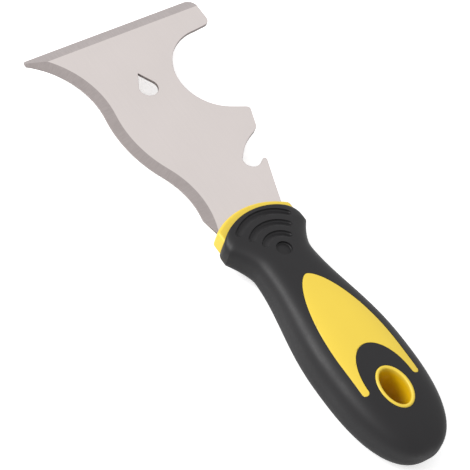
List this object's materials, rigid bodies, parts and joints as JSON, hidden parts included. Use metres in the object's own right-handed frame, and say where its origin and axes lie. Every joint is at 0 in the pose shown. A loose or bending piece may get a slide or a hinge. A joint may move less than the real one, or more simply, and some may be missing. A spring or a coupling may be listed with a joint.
{
  "type": "painters multi tool",
  "caption": "Painter's scraper tool: flat steel blade with ground edges, opening point, roller notch, hooked notch and nail hole, in a soft-grip handle with a hanging eye.",
  "frame": {"origin": "centre of the hanging eye, in the middle plane of the blade", "axes": "+Y along the tool towards the scraping edge, +Z out of the bevelled face, +X towards the roller notch"},
  "size_m": [0.0753, 0.2048, 0.021],
  "materials": {
    "blade_steel": "fine ground stainless steel",
    "core_plastic": "satin moulded plastic",
    "pin_steel": "drawn steel",
    "grip_rubber": "soft matt overmould"
  },
  "bodies": {
    "root": {"blade": "blade_steel", "handle_core": "core_plastic", "front_tang_pin": "pin_steel", "rear_tang_pin": "pin_steel", "grip": "grip_rubber"}
  },
  "joints": []
}
